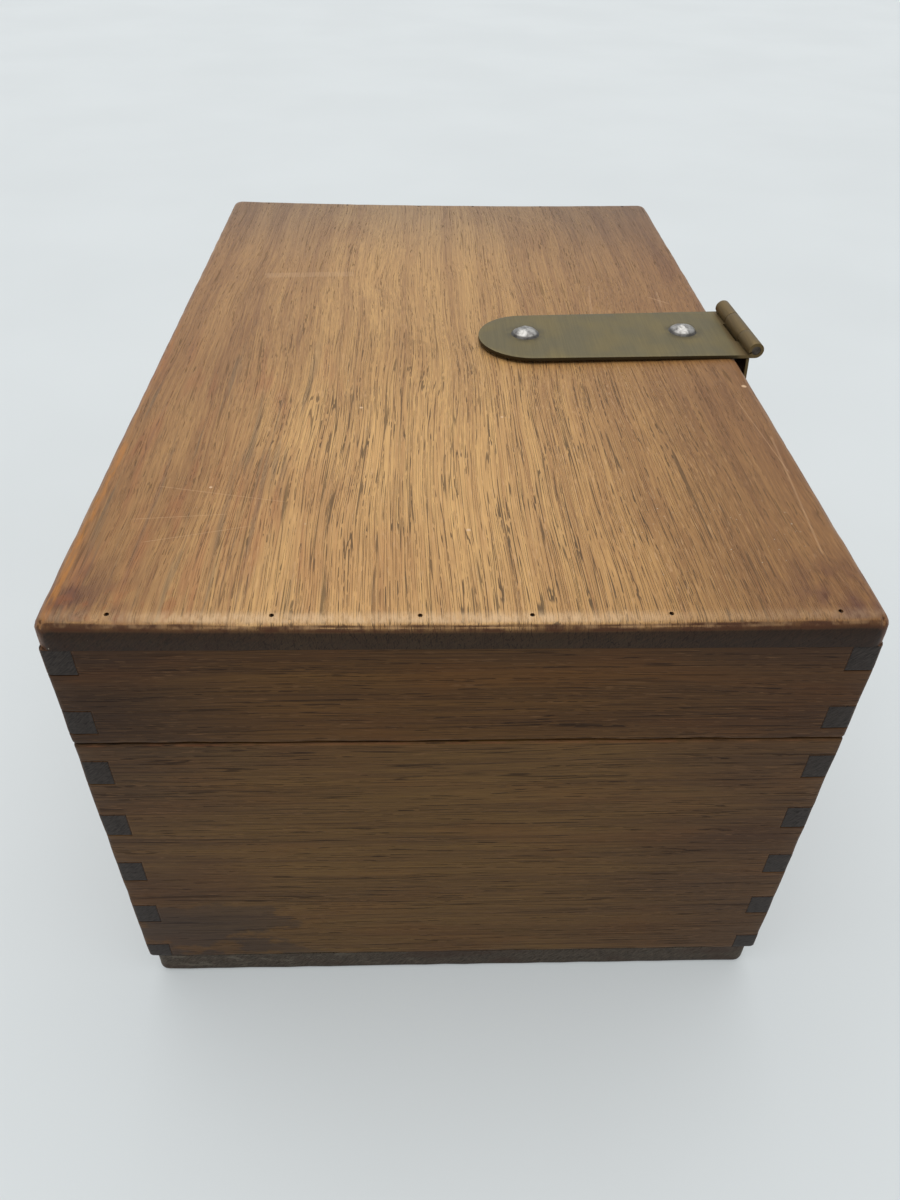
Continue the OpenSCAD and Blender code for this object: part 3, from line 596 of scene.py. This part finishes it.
def worn_copy(node, name, bevel=0.25, step=5.0, swell=0.06, seed=0.0):
    """A finer copy of a rigid node: broken arrises, which take the second material, and an uneven face."""
    bm = bmesh.new()
    bm.from_mesh(NODES[node].data)
    bmesh.ops.remove_doubles(bm, verts=bm.verts[:], dist=2e-6)
    bmesh.ops.dissolve_limit(bm, angle_limit=math.radians(0.02), verts=bm.verts[:], edges=bm.edges[:])
    sharp = [edge for edge in bm.edges
             if len(edge.link_faces) == 2 and edge.calc_face_angle(0.0) > math.radians(40)
             and edge.is_convex]
    bmesh.ops.bevel(bm, geom=sharp, offset=bevel * MM, segments=2, profile=0.6, affect="EDGES",
                    clamp_overlap=True, material=1)
    low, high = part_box(node)
    for axis in range(3):
        size = high[axis] - low[axis]
        count = max(1, round(size / (step * MM)))
        if size > 4 * MM:
            cut_by_planes(bm, axis, [low[axis] + size * i / count for i in range(1, count)])
    bm.normal_update()
    for vert in bm.verts:
        wave = swell * (0.5 + 0.5 * noise.noise(vert.co / (12 * MM) + Vector((seed, 0, 0))))
        vert.co -= vert.normal * wave * MM
    return finish_mesh(bm, name, node)


def spaced(marks, near, step):
    """Places along one axis: every mark, a few close beside it, and an even spacing between them."""
    marks = sorted({round(mark, 7) for mark in marks})
    found = set(marks)
    for a, b in zip(marks, marks[1:]):
        close = [d for d in near if d < (b - a) / 2 - 0.05 * MM]
        found |= {a + d for d in close} | {b - d for d in close}
        start, stop = a + max(close, default=0), b - max(close, default=0)
        count = max(1, round((stop - start) / step))
        found |= {start + (stop - start) * i / count for i in range(count + 1)}
    return sorted({round(place, 7) for place in found})


def lattice(boxes, near, step, shape, pockets=()):
    """A closed mesh of quads round the union of some boxes less some pockets, its points moved by shape."""
    low = [min(box[0][axis] for box in boxes) for axis in range(3)]
    high = [max(box[1][axis] for box in boxes) for axis in range(3)]
    ends = [end for box in (*boxes, *pockets) for end in box]
    marks = [[min(max(end[axis], low[axis]), high[axis]) for end in ends] for axis in range(3)]
    places = [spaced(marks[axis], near, step) for axis in range(3)]
    counts = [len(line) - 1 for line in places]

    def filled(cell):
        if any(c < 0 or c >= n for c, n in zip(cell, counts)):
            return False
        centre = [(places[a][cell[a]] + places[a][cell[a] + 1]) / 2 for a in range(3)]

        def inside(box):
            return all(box[0][a] < centre[a] < box[1][a] for a in range(3))
        return any(map(inside, boxes)) and not any(map(inside, pockets))

    solid = {(i, j, k) for i in range(counts[0]) for j in range(counts[1]) for k in range(counts[2])
             if filled((i, j, k))}
    bm = bmesh.new()
    edge_layer = bm.verts.layers.float.new("edge")
    verts = {}

    def vert_at(key):
        if key not in verts:
            point, rub = shape(Vector([places[a][key[a]] for a in range(3)]))
            verts[key] = bm.verts.new(point)
            verts[key][edge_layer] = rub
        return verts[key]

    for cell in sorted(solid):
        for axis in range(3):
            u, v = (axis + 1) % 3, (axis + 2) % 3
            for side in (0, 1):
                beside = list(cell)
                beside[axis] += 2 * side - 1
                if tuple(beside) in solid:
                    continue
                corner = list(cell)
                corner[axis] += side
                ring = []
                for du, dv in ((0, 0), (1, 0), (1, 1), (0, 1)):
                    key = list(corner)
                    key[u] += du
                    key[v] += dv
                    ring.append(vert_at(tuple(key)))
                bm.faces.new(ring if side else ring[::-1])
    bm.normal_update()
    return bm


def ease_corners(bm, amount):
    """Breaks the arrises a little: a point where the surface turns sharply is pushed in."""
    moves = []
    for vert in bm.verts:
        normals = [face.normal for face in vert.link_faces]
        if any(a.dot(b) < 0.6 for a in normals for b in normals):
            moves.append((vert, vert.normal * amount))
    for vert, move in moves:
        vert.co -= move
    bm.normal_update()


def round_pair(point, centre, half, a, b, radius, sides=(-1, 1)):
    """Rounds a block's edges where the planes across axes a and b meet."""
    da = abs(point[a] - centre[a]) - (half[a] - radius)
    db = abs(point[b] - centre[b]) - (half[b] - radius)
    side_a = 1 if point[a] > centre[a] else -1
    side_b = 1 if point[b] > centre[b] else -1
    if da <= 0 or db <= 0 or side_b not in sides:
        return
    reach = max(da, db) / math.hypot(da, db)
    point[a] -= side_a * da * (1 - reach)
    point[b] -= side_b * db * (1 - reach)


def fade(distance, reach):
    """Goes smoothly from 1 at no distance to 0 at its reach."""
    share = min(1.0, max(0.0, 1 - distance / reach))
    return share * share * (3 - 2 * share)


def block_shape(low, high, corner, arris, sides, wear, seed):
    """Moves a point of a board so that the box the boards make has rounded, dented outer edges."""
    centre, half = (low + high) / 2, (high - low) / 2
    soft = arris + 2.5 * MM

    def shape(point):
        away = [max(0.0, half[a] - abs(point[a] - centre[a])) for a in range(3)]
        side = 1 if point.z > centre.z else -1
        upright = away[2] if side in sides else half[2]
        nearest, second = sorted((away[0], away[1], upright))[:2]
        rub = fade(nearest + second, 3 * MM)
        dent = fade(nearest + second, soft)
        moved = point.copy()
        round_pair(moved, centre, half, 0, 2, arris, sides)
        round_pair(moved, centre, half, 1, 2, arris, sides)
        round_pair(moved, centre, half, 0, 1, corner)
        rough = max(0.0, noise.noise(point / (9 * MM) + Vector((seed, 0, 0))) + 0.25)
        slow = noise.noise(point / (45 * MM) + Vector((0, seed, 0))) * 0.5 + 0.5
        for a in range(3):
            pull = (dent * wear * rough + 0.08 * slow) * fade(away[a], soft)
            moved[a] -= math.copysign(pull * MM, point[a] - centre[a])
        return moved, rub
    return shape


def paint(piece, slot, *materials):
    """Gives a piece its materials; the slot is not used."""
    piece.data.materials.clear()
    for material in materials:
        piece.data.materials.append(material)


def paint_node(node, material):
    """Gives a rigid node's own mesh a material."""
    for held in NODES[node].material_slots:
        held.material = material


def islands(mesh):
    """The separate solids of a mesh, each as a list of its points."""
    bm = bmesh.new()
    bm.from_mesh(mesh)
    bmesh.ops.remove_doubles(bm, verts=bm.verts[:], dist=2e-6)
    left, found = set(bm.verts), []
    while left:
        group, queue = [], [left.pop()]
        while queue:
            vert = queue.pop()
            group.append(vert.co.copy())
            for edge in vert.link_edges:
                other = edge.other_vert(vert)
                if other in left:
                    left.remove(other)
                    queue.append(other)
        found.append(group)
    bm.free()
    return found


def reach_of(points):
    """The lowest and the highest corner of the box round some points."""
    low = Vector([min(point[i] for point in points) for i in range(3)])
    high = Vector([max(point[i] for point in points) for i in range(3)])
    return low, high


def rivet_spots():
    """Where the two rivets stand, seen from above, in millimetres."""
    found = []
    for points in islands(NODES["hasp_rivets"].data):
        middle = sum(points, Vector()) / len(points)
        found.append((middle.x / MM, middle.y / MM))
    return found


def hammered(bm, centre, profile, seed, facets, bite):
    """A turned form, (radius, height) up its axis, whose face is beaten into small flats."""
    around = 44
    rings = []
    for radius, height in profile:
        ring = [bm.verts.new(centre + Vector((radius * math.cos(a), radius * math.sin(a), height)))
                for a in (math.tau * i / around for i in range(around))]
        rings.append(ring)
    for low, high in zip(rings, rings[1:]):
        for i in range(around):
            bm.faces.new((low[i], low[i - 1], high[i - 1], high[i]))
    bm.faces.new(rings[-1][::-1])
    bm.faces.new(rings[0])
    random = Random(seed)
    for _ in range(facets):
        turn = random.uniform(0, math.tau)
        lean = random.uniform(0.15, 0.62)
        flat = Vector((math.sin(lean) * math.cos(turn), math.sin(lean) * math.sin(turn), math.cos(lean)))
        crest = max(flat.dot(vert.co - centre) for ring in rings for vert in ring)
        limit = crest - random.uniform(0.3, 1) * bite
        for ring in rings:
            for vert in ring:
                over = flat.dot(vert.co - centre) - limit
                if over > 0:
                    vert.co -= flat * over


def rivets():
    """Two beaten rivet heads with their clinched tails inside the lid."""
    bm = bmesh.new()
    found = sorted(islands(NODES["hasp_rivets"].data), key=lambda group: group[0].y)
    for seed, points in enumerate(found):
        low, high = reach_of(points)
        centre = (low + high) / 2
        head = (high.x - low.x) / 2
        rise = high.z - RIVET_SEAT
        ball = (head * head + rise * rise) / (2 * rise)
        dome = [(math.sqrt(max(0.0, ball ** 2 - (ball - rise + h) ** 2)), h) for h in
                (rise * math.sin(math.pi / 2 * i / 12) for i in range(12))]
        dome.append((0.12 * MM, rise))
        foot = Vector((centre.x, centre.y, RIVET_SEAT))
        hammered(bm, foot, [(head, -0.05 * MM)] + dome, 5 + seed, BEATEN_FLATS, BEATEN_BITE)
        shank = TAIL_RADIUS - 1.6 * MM
        tail = [(TAIL_RADIUS - 1.0 * MM, 0), (TAIL_RADIUS, TAIL_HEIGHT), (shank, TAIL_HEIGHT + 0.01 * MM),
                (shank, RIVET_SEAT - low.z)]
        hammered(bm, Vector((centre.x, centre.y, low.z)), tail, 15 + seed, 0, 0)
    bmesh.ops.recalc_face_normals(bm, faces=bm.faces[:])
    return finish_mesh(bm, "hasp_rivets_beaten", "hasp_rivets", sharp=24)


# Boards

def teeth(node, axis):
    """The bands of height in which a board reaches its full length, as its solid has them."""
    low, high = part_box(node)
    mesh = NODES[node].data
    spans = []
    for face in mesh.polygons:
        points = [mesh.vertices[i].co for i in face.vertices]
        if all(point[axis] < low[axis] + 0.01 * MM for point in points):
            spans.append([min(point.z for point in points), max(point.z for point in points)])
    merged = []
    for start, stop in sorted(spans):
        if merged and start < merged[-1][1] + 0.01 * MM:
            merged[-1][1] = max(merged[-1][1], stop)
        else:
            merged.append([start, stop])

    def snapped(value):
        """The height, or the board's own end where that lies close by."""
        return next((end for end in (low.z, high.z) if abs(end - value) < 1.2 * MM), value)
    return [[snapped(value) for value in span] for span in merged]


def leaf_pocket(node):
    """The box of a hinge leaf's plate, run out past the board's back."""
    points = [vert.co for vert in NODES[node].data.vertices if vert.co.y < HALF_WID - 1 * MM]
    low, high = reach_of(points)
    high.y = HALF_WID + 1 * MM
    return low, high


def jointed_board(node, axis, block, pockets=()):
    """A board with fingers at both ends; axis is the one it runs along."""
    low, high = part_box(node)
    across = 1 - axis
    wall = high[across] - low[across]
    core_low, core_high = low.copy(), high.copy()
    core_low[axis] += wall
    core_high[axis] -= wall
    boxes = [(core_low, core_high)]
    for start, stop in teeth(node, axis):
        tooth_low, tooth_high = low.copy(), high.copy()
        tooth_low.z, tooth_high.z = start, stop
        boxes.append((tooth_low, tooth_high))
    bm = lattice(boxes, [0.3 * MM, 0.7 * MM, 1.8 * MM], 5 * MM, block, pockets)
    ease_corners(bm, FINGER_EASE)
    return finish_mesh(bm, node + "_worn", node)


def top_board():
    """The top: sunk in the middle, its edges rounded and dented, with a pit over each pin."""
    low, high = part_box("lid_top_board")
    edge = block_shape(low, high, TOP_CORNER, TOP_ARRIS, (1,), TOP_WEAR, 97)
    half_wid = (high.y - low.y) / 2

    def shape(point):
        moved, rub = edge(point)
        rise = (point.z - low.z) / (high.z - low.z)
        moved.z -= TOP_CUP * (1 - (point.y / half_wid) ** 2) * rise
        return moved, rub

    near = [0.5 * MM, 1.0 * MM, 1.6 * MM, 2.4 * MM, 3.4 * MM, 5 * MM]
    bm = lattice([(low, high)], near, 4.5 * MM, shape)
    made = finish_mesh(bm, "lid_top_board_worn", "lid_top_board", sharp=50)
    pits = []
    for x, y, _, head in stands("lid_top_pins"):
        floor_at, mouth_at = Vector((x, y, head - 0.05 * MM)), Vector((x, y, head + 4 * MM))
        pits.append((floor_at, mouth_at, PIT_FLOOR, PIT_MOUTH))
    carve(made, pits)
    return made


def stands(node):
    """Where each upright fastener of a node stands: its x, its y, its foot and its head."""
    found = []
    for points in islands(NODES[node].data):
        low, high = reach_of(points)
        found.append(((low.x + high.x) / 2, (low.y + high.y) / 2, low.z, high.z))
    return found


def carve(made, holes):
    """Cuts round holes into a piece; each is its lower end, its upper end and its two radii."""
    bm = bmesh.new()
    for low, high, low_radius, high_radius in holes:
        depth = high.z - low.z
        place = Matrix.Translation((low + high) / 2)
        bmesh.ops.create_cone(bm, cap_ends=True, segments=16, radius1=low_radius, radius2=high_radius,
                              depth=depth, matrix=place)
    mesh = bpy.data.meshes.new("holes")
    bm.to_mesh(mesh)
    bm.free()
    cutter = bpy.data.objects.new("holes", mesh)
    bpy.context.scene.collection.objects.link(cutter)
    cut = made.modifiers.new("holes", "BOOLEAN")
    cut.operation = "DIFFERENCE"
    cut.object = cutter
    cut.solver = "EXACT"
    bpy.context.view_layer.update()
    shown = made.evaluated_get(bpy.context.evaluated_depsgraph_get())
    carved = bpy.data.meshes.new_from_object(shown)
    made.modifiers.clear()
    made.data = carved
    bpy.data.objects.remove(cutter)


def base():
    """The base board, its corners and lower edges rubbed round, with a hole for each screw."""
    low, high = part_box("base_board")
    shape = block_shape(low, high, BASE_CORNER, BASE_ARRIS, (-1,), BASE_WEAR, 131)
    near = [0.5 * MM, 1.0 * MM, 1.8 * MM, 3 * MM, 4.6 * MM]
    bm = lattice([(low, high)], near, 8 * MM, shape)
    made = finish_mesh(bm, "base_board_worn", "base_board", sharp=50)
    sink, over, lap = SCREW_HEAD - SCREW_SHANK, 1 * MM, 0.01 * MM
    holes = []
    for x, y, foot, _ in stands("base_screws"):
        lengths = [(foot - over, foot, SCREW_HEAD, SCREW_HEAD),
                   (foot - lap, foot + sink, SCREW_HEAD, SCREW_SHANK),
                   (foot + sink - lap, high.z + over, SCREW_SHANK, SCREW_SHANK)]
        for start, stop, low_radius, high_radius in lengths:
            holes.append((Vector((x, y, start)), Vector((x, y, stop)), low_radius, high_radius))
    carve(made, holes)
    return made


def box_shape(end, sides, seed):
    """How the box that an end board belongs to is rounded and dented."""
    low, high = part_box(end)
    return block_shape(Vector((-HALF_LEN, -HALF_WID, low.z)), Vector((HALF_LEN, HALF_WID, high.z)),
                       BOX_CORNER, BOX_ARRIS, sides, BOX_WEAR, seed)


def boards():
    """Every board with its own grain."""
    body = box_shape("body_left_end", (-1, 1), 3)
    lid = box_shape("lid_left_end", (-1,), 5)
    ends = [("body_left_end", 11), ("body_right_end", 23), ("lid_left_end", 35), ("lid_right_end", 47)]
    for node, seed in ends:
        piece = jointed_board(node, 1, body if node.startswith("body") else lid)
        paint(piece, "wood", wood(node + "_wood", "Y", "Z", END_TONES, seed, straight=6.0,
                                  ground=end_ground, marks=end_marks))
    sides = [("body_front_board", 59, ""), ("body_back_board", 61, "body"), ("lid_front_rail", 73, ""),
             ("lid_back_rail", 85, "lid")]
    for node, seed, leaf in sides:
        pockets = [leaf_pocket(f"{side}_hinge_{leaf}_leaf") for side in ("left", "right")] if leaf else []
        piece = jointed_board(node, 0, body if node.startswith("body") else lid, pockets)
        paint(piece, "wood", wood(node + "_wood", "X", "Z", SIDE_TONES, seed, straight=6.0))
    top_wood = wood("lid_top_board_wood", "X", "Y", TOP_TONES, 97, sheen=0.36, straight=16.0,
                    ground=top_ground, crowd=top_crowd, marks=top_marks)
    paint(top_board(), "wood", top_wood)
    base_wood = wood("base_board_wood", "X", "Y", BASE_TONES, 101, sheen=0.6, marks=base_marks)
    paint(base(), "base_wood", base_wood)
    for node, seed in (("tube_cradle", 113), ("foot_cradle", 127)):
        pale = wood(node + "_wood", "Y", "Z", PALE_TONES, seed, sheen=0.55)
        paint(worn_copy(node, node + "_worn", bevel=0.5, seed=seed), "cradle_wood", pale, pale)


# Hasp, hinges and fasteners

def hardware():
    """The hasp, the hinges, the catch and every screw, pin and rivet."""
    brass = aged_brass("aged_brass", 201)
    # The bevelled edges take the paler brass: rubbed wear with a painted edge highlight
    rubbed = aged_brass("rubbed_and_highlit_brass", 209, tone(160, 144, 104), tone(204, 180, 126), 0.3)
    for node in ("hasp_strap", "hasp_flap", "catch_plate", "turn_button"):
        paint(worn_copy(node, node + "_worn", bevel=0.34, step=4.0, swell=0.0), "brass", brass, rubbed)
    hinge_brass = aged_brass("hinge_brass", 215, tone(124, 108, 70), tone(146, 122, 74))
    for side in ("left", "right"):
        for leaf in ("body", "lid"):
            paint_node(f"{side}_hinge_{leaf}_leaf", hinge_brass)
    for node in ("catch_screws", "hinge_body_screws", "hinge_lid_screws"):
        paint_node(node, hinge_brass)
    steel = plain_metal("dark_steel", tone(58, 52, 46), tone(96, 88, 80), 0.45, 231)
    for node in ("base_screws", "lid_top_pins", "hasp_pin", "left_hinge_pin", "right_hinge_pin"):
        paint_node(node, steel)
    tin = beaten_tin()
    paint_node("rivet_washers", tin)
    paint(rivets(), "rivet_metal", tin)


def linings():
    """The felts, each a strip as wide as its board is thick."""
    felt = felt_cloth()
    for node, length in (("tube_cradle_felt", TUBE_FELT_LONG), ("foot_cradle_felt", FOOT_FELT_LONG)):
        piece = worn_copy(node, node + "_soft", bevel=0.5, step=2.5, swell=0.3, seed=19)
        paint(piece, "felt", felt, felt)


# Camera, floor and light

CAMERA_AT = Vector((-0.3852, 0.0137, 0.3601))
CAMERA_YAW = math.radians(-2.443)
CAMERA_PITCH = math.radians(-39.89)
CAMERA_ROLL = math.radians(1.359)
CAMERA_LENS = 27.69
FLOOR_REACH = 6.0
FLOOR_GLOW, GLOW_SHARE = 0.95, 0.38
SUN_STRENGTH, SUN_ANGLE = 2.0, math.radians(75)
ROOM_LIGHT, ROOM_SEEN = 0.42, 0.85


def camera():
    """The photograph's camera, as it was fitted to the case's straight edges."""
    data = bpy.data.cameras.new("camera")
    data.lens = CAMERA_LENS
    data.sensor_width = 36.0
    data.clip_start = 0.01
    made = bpy.data.objects.new("camera", data)
    bpy.context.scene.collection.objects.link(made)
    level = math.cos(CAMERA_PITCH)
    ahead = Vector((level * math.cos(CAMERA_YAW), level * math.sin(CAMERA_YAW), math.sin(CAMERA_PITCH)))
    right = Vector((math.sin(CAMERA_YAW), -math.cos(CAMERA_YAW), 0))
    up = right.cross(ahead)
    rolled_right = right * math.cos(CAMERA_ROLL) + up * math.sin(CAMERA_ROLL)
    rolled_up = up * math.cos(CAMERA_ROLL) - right * math.sin(CAMERA_ROLL)
    turn = Matrix((rolled_right, rolled_up, -ahead)).transposed()
    made.matrix_world = Matrix.Translation(CAMERA_AT) @ turn.to_4x4()
    bpy.context.scene.camera = made


def seen_by_eye(tree):
    """1 for rays from the camera, off a mirror or through glass."""
    rays = tree.nodes.new("ShaderNodeLightPath")
    seen = rays.outputs["Is Camera Ray"]
    for kind in ("Is Glossy Ray", "Is Transmission Ray"):
        most = tree.nodes.new("ShaderNodeMath")
        most.operation = "MAXIMUM"
        tree.links.new(seen, most.inputs[0])
        tree.links.new(rays.outputs[kind], most.inputs[1])
        seen = most.outputs[0]
    return seen


def floor():
    """A pale floor, a little brighter to the eye than it is lit."""
    reach = FLOOR_REACH
    corners = [(-reach, -reach, 0), (reach, -reach, 0), (reach, reach, 0), (-reach, reach, 0)]
    mesh = bpy.data.meshes.new("floor")
    mesh.from_pydata(corners, [], [(0, 1, 2, 3)])
    made = bpy.data.objects.new("floor", mesh)
    bpy.context.scene.collection.objects.link(made)
    g = Graph("pale_floor")
    place = g.place()
    cloud = g.noise((260, 260, 260), place, detail=3, seed=301)
    colour = g.mix(g.step(cloud, 0.3, 0.7), tone(212, 217, 218), tone(218, 223, 224))
    cloth = g.surface(colour, 0.55)
    glow = g.node("Emission", {"Color": tone(222, 227, 228), "Strength": FLOOR_GLOW})
    matte = g.output.inputs[0].links[0].from_socket
    share = g.times(seen_by_eye(g.tree), GLOW_SHARE)
    blend = g.node("MixShader", {0: share, 1: matte, 2: glow.outputs[0]})
    g.tree.links.new(blend.outputs[0], g.output.inputs[0])
    mesh.materials.append(cloth)


def light():
    """One soft lamp from above, and an even room round it that looks brighter than it lights."""
    sun = bpy.data.lights.new("softbox", "SUN")
    sun.energy = SUN_STRENGTH
    sun.angle = SUN_ANGLE
    made = bpy.data.objects.new("softbox", sun)
    made.rotation_euler = (math.radians(-3), math.radians(10), 0)
    bpy.context.scene.collection.objects.link(made)

    world = bpy.data.worlds.new("room")
    bpy.context.scene.world = world
    world.use_nodes = True
    tree = world.node_tree
    tree.nodes.clear()
    strength = tree.nodes.new("ShaderNodeMapRange")
    strength.inputs["To Min"].default_value = ROOM_LIGHT
    strength.inputs["To Max"].default_value = ROOM_SEEN
    tree.links.new(seen_by_eye(tree), strength.inputs["Value"])
    shade = tree.nodes.new("ShaderNodeBackground")
    shade.inputs["Color"].default_value = (0.94, 0.97, 1.0, 1.0)
    tree.links.new(strength.outputs["Result"], shade.inputs["Strength"])
    output = tree.nodes.new("ShaderNodeOutputWorld")
    tree.links.new(shade.outputs[0], output.inputs[0])


bpy.context.scene.view_settings.view_transform = "Standard"
boards()
hardware()
linings()
camera()
floor()
light()
